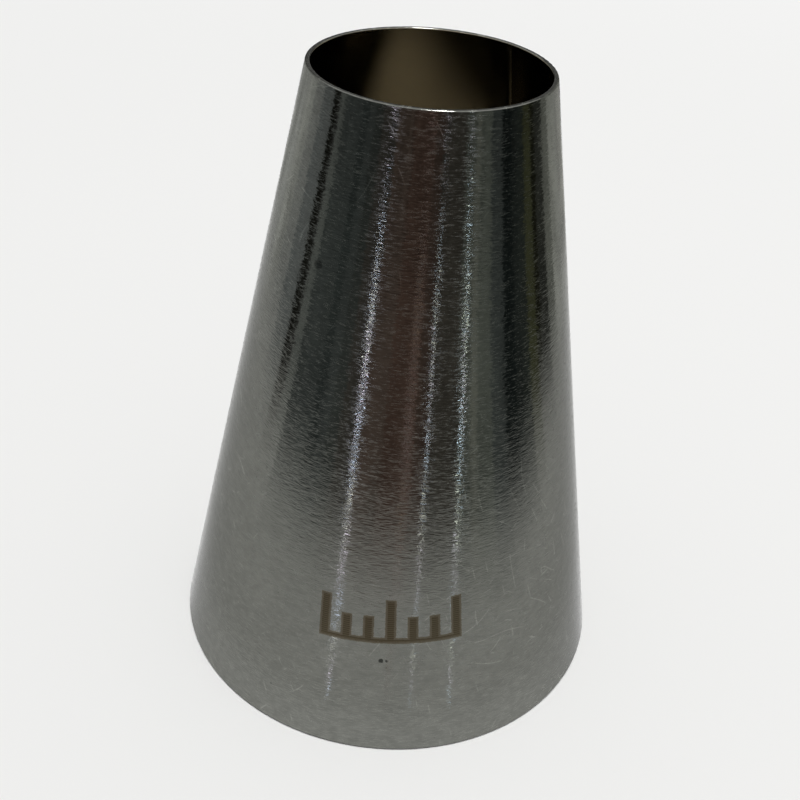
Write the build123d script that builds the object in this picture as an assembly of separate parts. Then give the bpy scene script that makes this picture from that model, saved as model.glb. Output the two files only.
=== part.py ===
from build123d import *
from math import atan, cos, sin
import os

# A plain round piping nozzle: a sheet of steel rolled into a cone, its two ends butted and welded.
# It stands on its base rim, centred on the origin, with the tip up along +Z.

# Sizes of the rolled sheet, in millimetres
tip_opening = 16.0  # inside diameter at the tip
base_mouth = 34.1  # inside diameter at the base
height = 47.5  # from the base rim to the tip rim
sheet = 0.35  # thickness of the steel, square to its face

# Roundings of the rims' corners, in millimetres
tip_rounding = 0.10  # both corners of the tip rim
base_outer_rounding = 0.15
base_inner_rounding = 0.08
rounding_limit_share = 0.45  # a rounding takes no more than this share of the wall

# The weld along the seam, in millimetres, with its direction in degrees
seam_direction = 49.0  # from +X towards +Y, seen from above
weld_width = 0.45
weld_crown = 0.06  # how far the middle of the bead stands in from the cone's inside face
weld_toe = 0.02  # how far its two sides do
weld_end_gap = 0.5  # plain inside face left between the crown and each rim

overrun = 1.0  # how far the cutting block passes the faces that it cuts

# Worked out from the sizes above
lean = atan((base_mouth - tip_opening) / 2 / height)  # of the wall, from upright
wall = sheet / cos(lean)  # the sheet's thickness as measured level


def wall_section():
    """The wall as the plane of the cone's axis and seam cuts it, with its four corners rounded."""
    inner_tip = (tip_opening / 2, height)
    outer_tip = (tip_opening / 2 + wall, height)
    outer_base = (base_mouth / 2 + wall, 0)
    inner_base = (base_mouth / 2, 0)
    section = Polygon(inner_tip, outer_tip, outer_base, inner_base, align=None)
    for corner, rounding in (
        (inner_tip, tip_rounding),
        (outer_tip, tip_rounding),
        (outer_base, base_outer_rounding),
        (inner_base, base_inner_rounding),
    ):
        vertex = section.vertices().sort_by_distance((*corner, 0))[0]
        section = fillet(vertex, min(rounding, rounding_limit_share * wall))
    return Plane.XZ * section


def seam_block():
    """The upright block that the seam's gap is cut with. It reaches out from the axis along +X."""
    reach = base_mouth / 2 + wall + overrun
    block = Box(
        reach,
        weld_width,
        height + 2 * overrun,
        align=(Align.MIN, Align.CENTER, Align.MIN),
    )
    return Pos(0, 0, -overrun) * block


def weld_bead():
    """The bead's low rounded crown on the inside face, rooted in the middle of the sheet."""
    up_the_face = Vector(-sin(lean), 0, cos(lean))
    into_the_cone = Vector(-cos(lean), 0, -sin(lean))
    start = Vector(base_mouth / 2, 0, 0) + up_the_face * weld_end_gap
    face_length = height / cos(lean)
    side = weld_width / 2
    root = -sheet / 2
    outline = [
        Polyline((weld_toe, -side), (root, -side), (root, side), (weld_toe, side)),
        ThreePointArc((weld_toe, side), (weld_crown, 0), (weld_toe, -side)),
    ]
    across = Plane(origin=start, x_dir=into_the_cone, z_dir=up_the_face)
    return extrude(across * make_face(outline), face_length - 2 * weld_end_gap)


def build():
    """Both pieces in place, by the names of their files."""
    ring = revolve(wall_section(), Axis.Z)
    gap = seam_block()
    to_seam = Rot(0, 0, seam_direction)
    return {
        "cone_shell": to_seam * (ring - gap),
        "seam_weld": to_seam * ((ring & gap) + weld_bead()),
    }


os.makedirs("parts", exist_ok=True)
for name, piece in build().items():
    export_step(piece, f"parts/{name}.step")
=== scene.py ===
from math import cos, pi, radians, sin

import bpy
from mathutils import Euler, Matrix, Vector


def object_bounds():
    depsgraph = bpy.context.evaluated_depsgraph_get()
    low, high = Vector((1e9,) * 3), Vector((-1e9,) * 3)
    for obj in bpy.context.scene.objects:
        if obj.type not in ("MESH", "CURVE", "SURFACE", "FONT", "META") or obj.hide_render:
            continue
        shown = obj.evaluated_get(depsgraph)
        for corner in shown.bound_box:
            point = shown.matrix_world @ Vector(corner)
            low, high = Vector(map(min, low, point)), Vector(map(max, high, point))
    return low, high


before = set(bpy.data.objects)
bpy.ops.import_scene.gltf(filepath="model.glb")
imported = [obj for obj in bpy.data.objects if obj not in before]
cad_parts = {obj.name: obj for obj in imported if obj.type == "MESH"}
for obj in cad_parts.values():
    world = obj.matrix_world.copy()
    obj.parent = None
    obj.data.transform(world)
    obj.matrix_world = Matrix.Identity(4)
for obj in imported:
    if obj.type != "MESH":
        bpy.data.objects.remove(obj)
cad_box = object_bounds()

# A round piping nozzle of brushed steel, on a pale floor, among the cards and bars that its steel reflects.
# Lengths are in metres and angles in degrees. An azimuth is seen from above: 0 is the camera's side, -Y, and
# 90 is +X. A size of noise is given as two lengths, level across and upright.
MM = 0.001
WHITE = (1, 1, 1, 1)

# The camera, at the photograph's viewing angle
CAMERA_PLACE = (0, -74.07 * MM, 71.61 * MM)
CAMERA_DOWN = 34.53
CAMERA_HEADING = 0.23
CAMERA_ROLL = 4.74
SENSOR_WIDTH = 36.0  # the camera's own millimetres
LENS_OVER_SENSOR = 1.421

# The floor and the lighting
FLOOR_REACH = 3.0
FLOOR_COLOUR = (0.86, 0.86, 0.85)
FLOOR_FADE = (0.1, 0.5)  # how far from the nozzle the floor starts and ends fading
# Near the nozzle the floor glows white in reflections only, a painted reflection that hides its shade by the
# foot.
FLOOR_GLOW = (27 * MM, 18.5 * MM)  # where the steel starts and ends seeing the floor as plain white
SKY_FILL = 0.38  # how strongly the white surround lights the matt floor
KEY_PLACE = (0.115, 0.038, 1.2)
KEY_SIZE = 0.2
KEY_SHARE = 0.66  # of the light that a white floor would need to look white

# The cards that stand round the nozzle, each from one azimuth to the next, with its colour and how far out
# on the floor its near end lies. They are the room that the steel reflects, in broad bands of tone.
CARD_RADIUS = 0.45
CARD_HEIGHT = 0.33
CARD_LIFT = 0.5 * MM
CARD_STEP = 2  # about how many degrees each quad of a card spans
CARD_BLOTCH = 22 * MM
BLOTCH_TONES = (0.3, 0.7, 0.65, 1.35)  # between which levels of noise a card lightens, and its tones
CARD_FALL = (0.2, 0.5, 1.1, 0.75)  # between which distances a card darkens, and its tones there
CARD_FOOT = (-31 * MM, 19 * MM)  # where a card starts and ends thickening, from its near end
CARDS = [
    (-158, -145, (0.56, 0.57, 0.54), 100 * MM),
    (-145, -138, (0.65, 0.66, 0.63), 100 * MM),
    (-138, -128, (0.79, 0.80, 0.78), 100 * MM),
    (-128, -120, (0.88, 0.89, 0.86), 100 * MM),
    (-120, -114, (0.72, 0.73, 0.71), 100 * MM),
    (-114, -102, (0.52, 0.53, 0.53), 100 * MM),
    (-102, -96, (0.31, 0.33, 0.34), 95 * MM),
    (-96, -88, (0.33, 0.35, 0.36), 90 * MM),
    (-88, -82, (0.03, 0.03, 0.025), 84 * MM),
    (-82, -80, (0.08, 0.08, 0.08), 84 * MM),
    (-80, -74, (0.29, 0.31, 0.30), 82 * MM),
    (-74, -56, (0.125, 0.14, 0.14), 71 * MM),
    (-56, -50, (0.083, 0.097, 0.097), 70 * MM),
    (-50, -44, (0.13, 0.145, 0.145), 68 * MM),
    (-44, -37, (0.094, 0.104, 0.10), 68 * MM),
    (-37, -24, (0.115, 0.105, 0.095), 66 * MM),
    (-24, -10, (0.185, 0.135, 0.115), 65 * MM),
    (-10, 8, (0.175, 0.11, 0.09), 65 * MM),
    (8, 15, (0.13, 0.09, 0.075), 65 * MM),
    (15, 34, (0.115, 0.104, 0.091), 64 * MM),
    (34, 42, (0.20, 0.215, 0.19), 62 * MM),
    (42, 46, (0.34, 0.35, 0.31), 61 * MM),
    (46, 56, (0.24, 0.26, 0.235), 60 * MM),
    (56, 66, (0.12, 0.135, 0.135), 60 * MM),
    (66, 75, (0.026, 0.033, 0.033), 64 * MM),
    (75, 80, (0.047, 0.055, 0.053), 66 * MM),
    (80, 87, (0.06, 0.07, 0.065), 68 * MM),
    (87, 95, (0.12, 0.125, 0.07), 76 * MM),
    (95, 100, (0.03, 0.03, 0.02), 84 * MM),
    (100, 110, (0.075, 0.078, 0.07), 84 * MM),
    (110, 120, (0.35, 0.36, 0.33), 90 * MM),
    (120, 138, (0.72, 0.73, 0.69), 90 * MM),
    (138, 146, (0.65, 0.65, 0.61), 90 * MM),
    (146, 158, (0.54, 0.54, 0.50), 90 * MM),
    (158, 172, (0.10, 0.10, 0.10), 150 * MM),
    (172, 188, (0.45, 0.45, 0.44), 150 * MM),
    (188, 202, (0.16, 0.16, 0.16), 150 * MM),
]

# The bright strips in front of the cards: azimuth, width and colour. Each is a row of short bars that starts
# at the nozzle's foot, runs out over the floor and climbs to its top.
STRIP_FOOT_SHARE = 0.47  # the azimuth of a strip's foot, as a share of the direction that it runs in
STRIP_START = 6 * MM
STRIP_LENGTH = 0.42
STRIP_HEIGHT = 0.30
STRIP_LIFT = 1 * MM
STRIP_RISE = (30 * MM, 110 * MM, 0.45, 1.0)  # between which distances a strip brightens, and its tones there
BARS_ON_FLOOR = 10
BARS_UPRIGHT = 3
BAR_SHARE = 0.075  # of the pitch from bar to bar
BAR_TINTS = [(0.85, 0.98, 1.20), (1.05, 0.95, 1.12), (1.05, 1.04, 0.94)]  # in turn along a strip
STRIPS = [
    (-28.2, 4.0, (20, 20, 22)),
    (4.5, 6.0, (2, 1.5, 1.3)),
    (17.5, 2.6, (13, 13.5, 14)),
    (39.5, 2.6, (18, 19.5, 20)),
]

# The nozzle's steel
TIP_RADIUS = 8.35 * MM
RIM_LEVEL = 0.6  # a face belongs to a rim where its normal is more upright than this
STEEL = (0.174, 0.177, 0.161)
# The inside is smooth steel, painted lighter and browner than the outside: a painted glow for the brownish
# light reflected in the mouth.
INSIDE_STEEL_AND_GLOW = (0.30, 0.265, 0.195)
WELD_STEEL = (0.186, 0.186, 0.166)
EDGE_TINT = (0.65, 0.65, 0.65, 1.0)  # of what the steel reflects at a grazing angle
INSIDE_ROUGHNESS = 0.10
BEAD_ROUGHNESS = 0.2
BEAD_RIPPLES = (0.5 * MM, 0.3 * MM)
BEAD_DEPTH = 0.006  # in millimetres, like the other depths of relief

# The brushing: its lines wander up and down, over broad facets and fine grooves, among rough hairlines
WANDER = (2.5 * MM, 1.5 * MM)
WANDER_RISE = 0.15 * MM
FACETS = (0.8 * MM, 0.26 * MM)
FACET_DEPTH = 0.008
GROOVES = (0.4 * MM, 0.1 * MM)
GROOVE_DEPTH = 0.008
HAIRS = (0.3 * MM, 0.11 * MM)
LONG_HAIRS = (0.7 * MM, 0.085 * MM)
HAIR_LEVELS = (0.8, 1.4)  # of the two kinds of hairlines together, from smooth to fully rough
SMOOTH_ROUGHNESS = 0.05
HAIR_ROUGHNESS = 0.26  # added on the hairlines
HAIR_SHADE = 0.25  # how much lighter they are
ANISOTROPY = 0.5
GRAIN_TURN = 0.25  # of a whole turn, which lays the grain round the cone

# The steel's uneven shade
MOTTLE = (0.8 * MM, 0.5 * MM)
MOTTLE_SHADES = (0.25, 0.75, 0.93, 1.07)  # between which levels of noise the shade rises, and its values
PATCHES = (4 * MM, 3 * MM)
PATCH_SHADES = (0.3, 0.7, -0.03, 0.03)
MEAN_SHADE = 1.08  # taken off again, so that the steel keeps its colour

# Small dark pits, one to a cell. A cell's random number shrinks its pit, often to nothing.
PIT_PITCH = 1.4 * MM
PIT_RARITY = 0.12
PIT_EDGE = (0.075, 0.045)  # as shares of the pitch
PIT_DARK = 0.5

# The larger dark spots: azimuth, height, radius and how dark
DARK_SPOTS = [
    (-0.2, 8.1 * MM, 0.2 * MM, 0.75),
    (1.3, 8.1 * MM, 0.12 * MM, 0.7),
    (-37.2, 36.5 * MM, 0.35 * MM, 0.5),
]
SPOT_EDGE = (1.6, 1.2)  # as shares of the radius, about half of which the ragged noise takes off again
SPOT_RAGS = (0.15 * MM, 0.15 * MM)

# The scratches, in families of parallel lines: the direction across the lines and their pitch
SCRATCHES = [
    ((1, 0.2, 0.3), 1.1 * MM),
    ((1, -0.1, -0.8), 1.4 * MM),
    ((0.6, 0.3, 1), 1.7 * MM),
    ((-0.3, 0.8, 1), 2 * MM),
]
SCRATCH_WIDTH = 0.06 * MM  # from the middle of a line to where it has faded
SCRATCH_BEND = 2.0  # by how many pitches the lines wander
SCRATCH_BENDS = (5 * MM, 5 * MM)  # the size of the noise that bends the lines
SCRATCH_BREAKS = (1.6 * MM, 1.6 * MM)  # the size of the noise that breaks them into pieces
SCRATCH_LEVELS = (0.69, 0.77)  # of that noise, from where a line is gone to where it is whole
SCRATCH_SHADE = 0.5
SCRATCH_ROUGHNESS = 0.25
WORN_PLACE = (38, 15 * MM)  # azimuth and height of the middle of the most scratched area
WORN_REACH = (5 * MM, 11 * MM)
WORN_EXTRA = 0.12  # added to that noise there

# The etched scale near the base: a baseline with upright ticks, every third one long
SCALE_PLACE = (1.65, 11.5 * MM)  # azimuth and height of its middle
SCALE_TILT = 2.7
SCALE_HEIGHT = 3.7 * MM
SHORT_TICK = 2.3 * MM
TICK_PITCH = 1.62 * MM
TICK_WIDTH = 0.8 * MM
TICKS_EACH_SIDE = 3
TICKS_PER_LONG = 3
BASELINE_WIDTH = 0.5 * MM
SCALE_BORDER = 0.13 * MM
BORDER_BLEND = 0.05 * MM
SCALE_RAGS = (0.12 * MM, 0.1 * MM)  # the size of the noise that makes its edges ragged
SCALE_RAGGED = 0.03 * MM  # how far it moves them
ETCHING_LINES = 0.17 * MM
ETCHING_SHADES = (0.7, 1.2)  # between its lines and on them
ETCHED = (0.086, 0.072, 0.047)
ETCHED_BORDER = (0.125, 0.110, 0.080)
ETCHED_ROUGHNESS = 0.4


def add(tree, kind, inputs=None, **settings):
    """Adds a node. Each input is a plain value or another node's output."""
    made = tree.nodes.new(kind)
    for name, value in settings.items():
        setattr(made, name, value)
    for key, value in (inputs or {}).items():
        if isinstance(value, bpy.types.NodeSocket):
            tree.links.new(value, made.inputs[key])
        else:
            made.inputs[key].default_value = value
    return made


def maths(tree, operation, *values):
    """The output of a Math node."""
    return add(tree, "ShaderNodeMath", dict(enumerate(values)), operation=operation).outputs[0]


def ramp(tree, value, start, end, low=0.0, high=1.0):
    """Rises smoothly from low to high as value goes from start to end."""
    inputs = {"Value": value, "From Min": start, "From Max": end, "To Min": low, "To Max": high}
    return add(tree, "ShaderNodeMapRange", inputs, interpolation_type="SMOOTHSTEP").outputs[0]


def blend(tree, share, first, second):
    """The first colour at share 0 and the second at share 1."""
    # A Mix node's colour sockets are its inputs 6 and 7 and its output 2.
    made = add(tree, "ShaderNodeMix", data_type="RGBA")
    for socket, value in zip((made.inputs[0], made.inputs[6], made.inputs[7]), (share, first, second)):
        if isinstance(value, bpy.types.NodeSocket):
            tree.links.new(value, socket)
        else:
            socket.default_value = value if socket is made.inputs[0] else (*value, 1.0)
    return made.outputs[2]


def noise(tree, place, across, upright, detail=2.0, roughness=0.5, seed=0.0):
    """Noise whose features are about that size across and upright."""
    scale = (1 / across, 1 / across, 1 / upright)
    stretched = add(tree, "ShaderNodeVectorMath", {0: place, 1: scale}, operation="MULTIPLY")
    inputs = {
        "Vector": stretched.outputs[0],
        "W": seed,
        "Scale": 1.0,
        "Detail": detail,
        "Roughness": roughness,
    }
    return add(tree, "ShaderNodeTexNoise", inputs, noise_dimensions="4D").outputs[0]


def vectors(tree, operation, *values):
    """The vector from a Vector Math node, or its number where the operation gives one."""
    made = add(tree, "ShaderNodeVectorMath", dict(enumerate(values)), operation=operation)
    return made.outputs[1 if operation in ("DOT_PRODUCT", "LENGTH", "DISTANCE") else 0]


def new_material(name):
    """An empty material with its output node."""
    made = bpy.data.materials.new(name)
    made.use_nodes = True
    made.node_tree.nodes.clear()
    return made, made.node_tree, add(made.node_tree, "ShaderNodeOutputMaterial")


def outside_share(tree, coordinates):
    """1 on the cone's outside and on its rims, 0 inside."""
    normal = coordinates.outputs["Normal"]
    outward = vectors(tree, "MULTIPLY", coordinates.outputs["Object"], (1, 1, 0))
    outside = maths(tree, "GREATER_THAN", vectors(tree, "DOT_PRODUCT", outward, normal), 0.0)
    level = maths(tree, "ABSOLUTE", vectors(tree, "DOT_PRODUCT", normal, (0, 0, 1)))
    return maths(tree, "MAXIMUM", outside, maths(tree, "GREATER_THAN", level, RIM_LEVEL))


def brushing(tree, place):
    """The brushing's relief round the cone, in millimetres, and how rough its hairlines are, 0 to 1."""
    wander = ramp(tree, noise(tree, place, *WANDER, seed=11.0), 0.0, 1.0, -WANDER_RISE, WANDER_RISE)
    lift = add(tree, "ShaderNodeCombineXYZ", {"Z": wander}).outputs[0]
    bent = vectors(tree, "ADD", place, lift)
    facets = noise(tree, bent, *FACETS, detail=0.0)
    grooves = noise(tree, bent, *GROOVES, detail=0.0, seed=17.0)
    relief = maths(tree, "MULTIPLY_ADD", facets, FACET_DEPTH, maths(tree, "MULTIPLY", grooves, GROOVE_DEPTH))
    hairs = noise(tree, bent, *HAIRS, detail=1.0, seed=13.0)
    long_hairs = noise(tree, bent, *LONG_HAIRS, detail=0.0, seed=2.0)
    return relief, ramp(tree, maths(tree, "ADD", hairs, long_hairs), *HAIR_LEVELS)


def scratches(tree, place):
    """Fine light scratches, 0 to 1: short pieces of slightly bent lines that run several ways."""
    near, far = WORN_REACH
    wear = ramp(tree, vectors(tree, "DISTANCE", place, on_shell(*WORN_PLACE)), far, near, 0.0, WORN_EXTRA)
    marks = 0.0
    for seed, (across, pitch) in enumerate(SCRATCHES, start=20):
        bend = noise(tree, place, *SCRATCH_BENDS, detail=0.0, seed=seed)
        level = vectors(tree, "DOT_PRODUCT", place, Vector(across).normalized() / pitch)
        level = maths(tree, "FRACT", maths(tree, "MULTIPLY_ADD", bend, SCRATCH_BEND, level))
        off_line = maths(tree, "ABSOLUTE", maths(tree, "SUBTRACT", level, 0.5))
        line = ramp(tree, off_line, SCRATCH_WIDTH / pitch, 0.0)
        kept = maths(tree, "ADD", noise(tree, place, *SCRATCH_BREAKS, detail=0.0, seed=seed + 10), wear)
        drawn = maths(tree, "MULTIPLY", line, ramp(tree, kept, *SCRATCH_LEVELS))
        marks = maths(tree, "MAXIMUM", marks, drawn)
    return marks


def specks(tree, place):
    """Small dark pits here and there and the larger dark spots, 0 to 1."""
    pits = add(tree, "ShaderNodeTexVoronoi", {"Vector": place, "Scale": 1 / PIT_PITCH})
    chance = add(tree, "ShaderNodeSeparateColor", {"Color": pits.outputs["Color"]}).outputs[0]
    away = maths(tree, "MULTIPLY_ADD", chance, PIT_RARITY, pits.outputs["Distance"])
    dark = ramp(tree, away, *PIT_EDGE, 0.0, PIT_DARK)
    ragged = noise(tree, place, *SPOT_RAGS, detail=1.0, seed=31.0)
    for azimuth, height, radius, depth in DARK_SPOTS:
        away = vectors(tree, "DISTANCE", place, on_shell(azimuth, height))
        away = maths(tree, "MULTIPLY_ADD", ragged, radius, away)
        start, end = (radius * share for share in SPOT_EDGE)
        dark = maths(tree, "MAXIMUM", dark, ramp(tree, away, start, end, 0.0, depth))
    return dark


def span(tree, value, middle, half):
    """How far the value lies outside of the span about that middle. It is negative inside."""
    return maths(tree, "SUBTRACT", maths(tree, "ABSOLUTE", maths(tree, "SUBTRACT", value, middle)), half)


def etched_scale(tree, place):
    """How far each spot lies outside of the etched scale, in metres, and its height along the ticks."""
    azimuth, height = SCALE_PLACE
    x, y, z = add(tree, "ShaderNodeSeparateXYZ", {"Vector": place}).outputs
    turn = maths(tree, "ARCTAN2", x, maths(tree, "MULTIPLY", y, -1.0))
    turn = maths(tree, "SUBTRACT", turn, radians(azimuth))
    round_the_cone = maths(tree, "MULTIPLY", turn, Vector(on_shell(azimuth, height)).xy.length)
    up = maths(tree, "SUBTRACT", z, height)
    cosine, sine = cos(radians(SCALE_TILT)), sin(radians(SCALE_TILT))
    along = maths(tree, "MULTIPLY_ADD", round_the_cone, cosine, maths(tree, "MULTIPLY", up, sine))
    above = maths(tree, "MULTIPLY_ADD", up, cosine, SCALE_HEIGHT / 2)
    above = maths(tree, "MULTIPLY_ADD", round_the_cone, -sine, above)

    tick = maths(tree, "ROUND", maths(tree, "DIVIDE", along, TICK_PITCH))
    tick = maths(tree, "MAXIMUM", maths(tree, "MINIMUM", tick, TICKS_EACH_SIDE), -TICKS_EACH_SIDE)
    from_long = maths(tree, "MODULO", maths(tree, "ABSOLUTE", tick), TICKS_PER_LONG)
    is_long = maths(tree, "LESS_THAN", from_long, 0.5)
    half = maths(tree, "MULTIPLY_ADD", is_long, (SCALE_HEIGHT - SHORT_TICK) / 2, SHORT_TICK / 2)
    ticks = maths(
        tree, "MAXIMUM",
        span(tree, along, maths(tree, "MULTIPLY", tick, TICK_PITCH), TICK_WIDTH / 2),
        span(tree, above, half, half),
    )
    length = 2 * TICKS_EACH_SIDE * TICK_PITCH + TICK_WIDTH
    line = maths(
        tree, "MAXIMUM",
        span(tree, along, 0.0, length / 2),
        span(tree, above, BASELINE_WIDTH / 2, BASELINE_WIDTH / 2),
    )
    return maths(tree, "MINIMUM", ticks, line), above


def brushed_steel():
    """The shell's steel: brushed outside and smooth inside, with the etched scale and marks of use."""
    made, tree, output = new_material("brushed_steel_shell")
    coordinates = add(tree, "ShaderNodeTexCoord")
    place = coordinates.outputs["Object"]
    outside = outside_share(tree, coordinates)
    relief, rough = brushing(tree, place)
    scratched = scratches(tree, place)

    mottle = noise(tree, place, *MOTTLE, detail=1.0, roughness=0.6, seed=5.0)
    patches = noise(tree, place, *PATCHES, seed=3.0)
    shade = maths(tree, "ADD", ramp(tree, mottle, *MOTTLE_SHADES), ramp(tree, patches, *PATCH_SHADES))
    shade = maths(tree, "MULTIPLY_ADD", rough, HAIR_SHADE, shade)
    shade = maths(tree, "MULTIPLY_ADD", scratched, SCRATCH_SHADE, shade)
    shade = maths(tree, "MULTIPLY_ADD", maths(tree, "SUBTRACT", shade, MEAN_SHADE), outside, 1.0)
    shade = maths(tree, "MULTIPLY", shade, maths(tree, "SUBTRACT", 1.0, specks(tree, place)))
    # Inside, the lighter, browner steel is partly a painted glow.
    steel = blend(tree, outside, INSIDE_STEEL_AND_GLOW, STEEL)
    colour = add(tree, "ShaderNodeVectorMath", {0: steel, "Scale": shade}, operation="SCALE").outputs[0]

    away, above = etched_scale(tree, place)
    ragged = noise(tree, place, *SCALE_RAGS, detail=1.0, seed=33.0)
    away = maths(tree, "ADD", away, ramp(tree, ragged, 0.2, 0.8, -SCALE_RAGGED, SCALE_RAGGED))
    burnt = maths(tree, "MULTIPLY", ramp(tree, away, SCALE_RAGGED, -SCALE_RAGGED), outside)
    core = maths(tree, "MULTIPLY", ramp(tree, away, -SCALE_BORDER, -SCALE_BORDER - BORDER_BLEND), outside)
    wave = maths(tree, "SINE", maths(tree, "MULTIPLY", above, 2 * pi / ETCHING_LINES))
    line = ramp(tree, wave, -1.0, 1.0, *ETCHING_SHADES)
    etched = add(tree, "ShaderNodeVectorMath", {0: ETCHED, "Scale": line}, operation="SCALE").outputs[0]
    colour = blend(tree, core, blend(tree, burnt, colour, ETCHED_BORDER), etched)

    roughness = maths(tree, "MULTIPLY_ADD", rough, HAIR_ROUGHNESS, SMOOTH_ROUGHNESS)
    roughness = maths(tree, "MAXIMUM", roughness, maths(tree, "MULTIPLY", scratched, SCRATCH_ROUGHNESS))
    roughness = maths(tree, "MAXIMUM", roughness, maths(tree, "MULTIPLY", burnt, ETCHED_ROUGHNESS))
    beyond_inside = maths(tree, "SUBTRACT", roughness, INSIDE_ROUGHNESS)
    roughness = maths(tree, "MULTIPLY_ADD", beyond_inside, outside, INSIDE_ROUGHNESS)

    lines = add(tree, "ShaderNodeBump", {"Strength": outside, "Distance": MM, "Height": relief})
    tangent = add(tree, "ShaderNodeTangent", direction_type="RADIAL", axis="Z")
    shader = add(
        tree,
        "ShaderNodeBsdfPrincipled",
        {
            "Base Color": colour,
            "Metallic": 1.0,
            "Roughness": roughness,
            "Anisotropic": ANISOTROPY,
            "Anisotropic Rotation": GRAIN_TURN,
            "Specular Tint": EDGE_TINT,
            "Normal": lines.outputs[0],
            "Tangent": tangent.outputs[0],
        },
    )
    tree.links.new(shader.outputs[0], output.inputs[0])
    return made


def weld_steel():
    """The weld's steel: a bead fused smooth inside, and outside ground flush and brushed like the shell."""
    made, tree, output = new_material("fused_weld_steel")
    coordinates = add(tree, "ShaderNodeTexCoord")
    place = coordinates.outputs["Object"]
    outside = outside_share(tree, coordinates)
    relief, rough = brushing(tree, place)
    bead = maths(tree, "MULTIPLY", noise(tree, place, *BEAD_RIPPLES, seed=5.0), BEAD_DEPTH)
    height = maths(tree, "MULTIPLY_ADD", maths(tree, "SUBTRACT", relief, bead), outside, bead)
    bump = add(tree, "ShaderNodeBump", {"Strength": 1.0, "Distance": MM, "Height": height})
    beyond_bead = maths(tree, "MULTIPLY_ADD", rough, HAIR_ROUGHNESS, SMOOTH_ROUGHNESS - BEAD_ROUGHNESS)
    roughness = maths(tree, "MULTIPLY_ADD", beyond_bead, outside, BEAD_ROUGHNESS)
    # Inside, the bead takes that lighter, browner colour, partly a painted glow.
    shader = add(
        tree,
        "ShaderNodeBsdfPrincipled",
        {
            "Base Color": blend(tree, outside, INSIDE_STEEL_AND_GLOW, WELD_STEEL),
            "Metallic": 1.0,
            "Roughness": roughness,
            "Specular Tint": EDGE_TINT,
            "Normal": bump.outputs[0],
        },
    )
    tree.links.new(shader.outputs[0], output.inputs[0])
    return made


def floor_material():
    """A plain pale matt floor. Far out the camera sees it fade into the white surround, and close to the
    nozzle its reflections see it glow plain white: a painted reflection that hides the floor's shade there."""
    made, tree, output = new_material("pale_floor")
    matt = add(tree, "ShaderNodeBsdfDiffuse", {"Color": (*FLOOR_COLOUR, 1.0)})
    white = add(tree, "ShaderNodeEmission", {"Color": WHITE, "Strength": 1.0})
    distance = vectors(tree, "LENGTH", add(tree, "ShaderNodeTexCoord").outputs["Object"])
    seen = add(tree, "ShaderNodeLightPath")
    faded = maths(tree, "MULTIPLY", ramp(tree, distance, *FLOOR_FADE), seen.outputs["Is Camera Ray"])
    # Painted glow: reflections see the floor near the foot lit plain white, without the nozzle's shade on
    # it.
    painted_glow = maths(tree, "MULTIPLY", ramp(tree, distance, *FLOOR_GLOW), seen.outputs["Is Glossy Ray"])
    painted_glow = maths(tree, "MULTIPLY", painted_glow, maths(tree, "GREATER_THAN", distance, cad_box[1][0]))
    share = maths(tree, "MAXIMUM", faded, painted_glow)
    mixed = add(tree, "ShaderNodeMixShader", {0: share, 1: matt.outputs[0], 2: white.outputs[0]})
    tree.links.new(mixed.outputs[0], output.inputs[0])
    return made


def card_material(name, colour, near):
    """A softly blotched card, darker further out, with a soft near end."""
    made, tree, output = new_material(name)
    place = add(tree, "ShaderNodeTexCoord").outputs["Object"]
    distance = vectors(tree, "LENGTH", place)
    blotches = ramp(tree, noise(tree, place, CARD_BLOTCH, CARD_BLOTCH, seed=41.0), *BLOTCH_TONES)
    tone = maths(tree, "MULTIPLY", ramp(tree, distance, *CARD_FALL), blotches)
    shader = add(tree, "ShaderNodeEmission", {"Color": (*colour, 1.0), "Strength": tone})
    clear = add(tree, "ShaderNodeBsdfTransparent")
    thickness = ramp(tree, distance, near + CARD_FOOT[0], near + CARD_FOOT[1])
    mixed = add(tree, "ShaderNodeMixShader", {0: thickness, 1: clear.outputs[0], 2: shader.outputs[0]})
    tree.links.new(mixed.outputs[0], output.inputs[0])
    return made


def strip_material(name, colour):
    """A bright bar, dimmer near the nozzle."""
    made, tree, output = new_material(name)
    distance = vectors(tree, "LENGTH", add(tree, "ShaderNodeTexCoord").outputs["Object"])
    tone = ramp(tree, distance, *STRIP_RISE)
    shader = add(tree, "ShaderNodeEmission", {"Color": (*colour, 1.0), "Strength": tone})
    tree.links.new(shader.outputs[0], output.inputs[0])
    return made


def new_object(name, vertices, faces, material):
    """A mesh object in the scene."""
    mesh = bpy.data.meshes.new(name)
    mesh.from_pydata(vertices, [], faces)
    mesh.materials.append(material)
    made = bpy.data.objects.new(name, mesh)
    bpy.context.scene.collection.objects.link(made)
    return made


def towards(azimuth, radius):
    """The point of the floor at that azimuth and radius."""
    return (radius * sin(radians(azimuth)), -radius * cos(radians(azimuth)))


def on_shell(azimuth, height):
    """The point of the cone's outside face at that azimuth and height."""
    base_radius, top = cad_box[1][0], cad_box[1][2]
    return (*towards(azimuth, base_radius + (TIP_RADIUS - base_radius) * height / top), height)


def make_floor():
    """The floor that the nozzle stands on."""
    far = FLOOR_REACH
    corners = [(-far, -far, 0), (far, -far, 0), (far, far, 0), (-far, far, 0)]
    floor = new_object("floor", corners, [(0, 1, 2, 3)], floor_material())


def make_panel(name, quads, material):
    """A panel of separate quads. Only reflections see it."""
    vertices = [corner for quad in quads for corner in quad]
    faces = [tuple(range(first, first + 4)) for first in range(0, len(vertices), 4)]
    panel = new_object(name, vertices, faces, material)
    for kind in ("camera", "diffuse", "transmission", "volume_scatter", "shadow"):
        setattr(panel, f"visible_{kind}", False)


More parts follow.
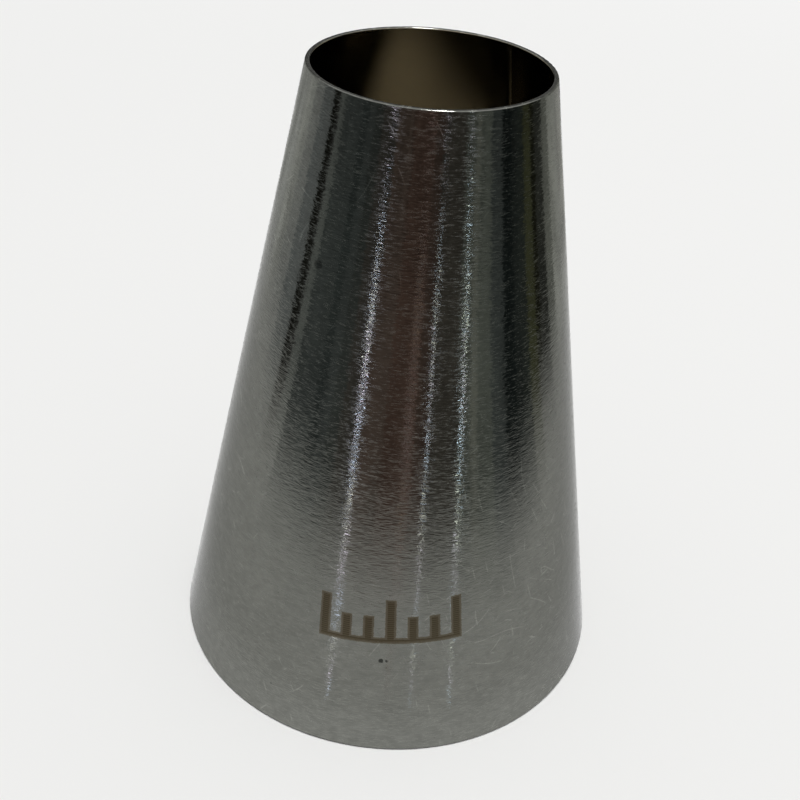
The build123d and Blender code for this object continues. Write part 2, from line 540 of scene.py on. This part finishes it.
def make_cards():
    """The cards about the nozzle. Each lies on the floor and then stands upright."""
    for i, (start, end, colour, near) in enumerate(CARDS):
        steps = max(1, round((end - start) / CARD_STEP))
        radii = (near + CARD_FOOT[0], CARD_RADIUS)
        quads = []
        for step in range(steps):
            sides = [start + (end - start) * (step + side) / steps for side in (0, 1)]
            corners = [(*towards(azimuth, radius), CARD_LIFT) for azimuth in sides for radius in radii]
            tops = [(*towards(azimuth, CARD_RADIUS), CARD_HEIGHT) for azimuth in sides]
            quads.append((corners[0], corners[2], corners[3], corners[1]))
            quads.append((corners[1], corners[3], tops[1], tops[0]))
        make_panel(f"card_{i}", quads, card_material(f"card_{i}", colour, near))


def make_strips():
    """The rows of bright bars. On the floor, each bar is further out than the last by the same factor."""
    foot_radius = cad_box[1][0]
    growth = (STRIP_LENGTH / STRIP_START) ** (1 / BARS_ON_FLOOR)
    for i, (azimuth, width, colour) in enumerate(STRIPS):
        foot = Vector((*towards(STRIP_FOOT_SHARE * azimuth, foot_radius), STRIP_LIFT))
        sides = [Vector((*towards(azimuth + side * width / 2, 1), 0)) for side in (-1, 1)]
        up = Vector((0, 0, 1))
        quads = []
        for bar in range(BARS_ON_FLOOR):
            near, far = (STRIP_START * growth ** (bar + share) for share in (0, BAR_SHARE))
            corners = ((0, near), (1, near), (1, far), (0, far))
            quads.append([foot + sides[k] * reach for k, reach in corners])
        for bar in range(BARS_UPRIGHT):
            low, high = (STRIP_HEIGHT * (bar + share) / BARS_UPRIGHT for share in (1 - BAR_SHARE, 1))
            ends = [foot + side * STRIP_LENGTH for side in sides]
            corners = ((0, low), (1, low), (1, high), (0, high))
            quads.append([ends[k] + up * height for k, height in corners])
        for k, tint in enumerate(BAR_TINTS):
            name = f"strip_{i}_{k}"
            tinted = [a * b for a, b in zip(colour, tint)]
            make_panel(name, quads[k::len(BAR_TINTS)], strip_material(name, tinted))


def make_key():
    """The softbox overhead, which shines down through the nozzle."""
    distance = Vector(KEY_PLACE).length
    data = bpy.data.lights.new("key_softbox", "AREA")
    data.shape = "SQUARE"
    data.size = KEY_SIZE
    data.energy = KEY_SHARE * (pi * distance) ** 2
    key = bpy.data.objects.new("key_softbox", data)
    key.location = KEY_PLACE
    key.rotation_mode = "QUATERNION"
    key.rotation_quaternion = (-Vector(KEY_PLACE)).to_track_quat("-Z", "Y")
    key.visible_camera = False
    bpy.context.scene.collection.objects.link(key)


def make_world():
    """A white surround, which lights the scene softly."""
    world = bpy.data.worlds.new("surround")
    bpy.context.scene.world = world
    world.use_nodes = True
    tree = world.node_tree
    tree.nodes.clear()
    path = add(tree, "ShaderNodeLightPath")
    seen = maths(tree, "MAXIMUM", path.outputs["Is Camera Ray"], path.outputs["Is Glossy Ray"])
    seen = maths(tree, "MAXIMUM", seen, path.outputs["Is Transmission Ray"])
    light = ramp(tree, seen, 0.0, 1.0, SKY_FILL, 1.0)
    background = add(tree, "ShaderNodeBackground", {"Color": WHITE, "Strength": light})
    output = add(tree, "ShaderNodeOutputWorld")
    tree.links.new(background.outputs[0], output.inputs[0])


def make_camera():
    """The camera, where the photograph was taken from."""
    data = bpy.data.cameras.new("camera")
    data.sensor_width = SENSOR_WIDTH
    data.lens = LENS_OVER_SENSOR * SENSOR_WIDTH
    data.clip_start = MM
    camera = bpy.data.objects.new("camera", data)
    camera.location = CAMERA_PLACE
    level = Euler((radians(90 - CAMERA_DOWN), 0, radians(CAMERA_HEADING))).to_matrix()
    camera.rotation_mode = "QUATERNION"
    camera.rotation_quaternion = (level @ Euler((0, 0, radians(CAMERA_ROLL))).to_matrix()).to_quaternion()
    bpy.context.scene.collection.objects.link(camera)
    bpy.context.scene.camera = camera


def dress(node, material):
    """Gives a CAD node its material."""
    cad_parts[node].material_slots[0].material = material


make_camera()
make_floor()
make_cards()
make_strips()
make_key()
make_world()
dress("cone_shell", brushed_steel())
dress("seam_weld", weld_steel())
bpy.context.scene.view_settings.view_transform = "Standard"
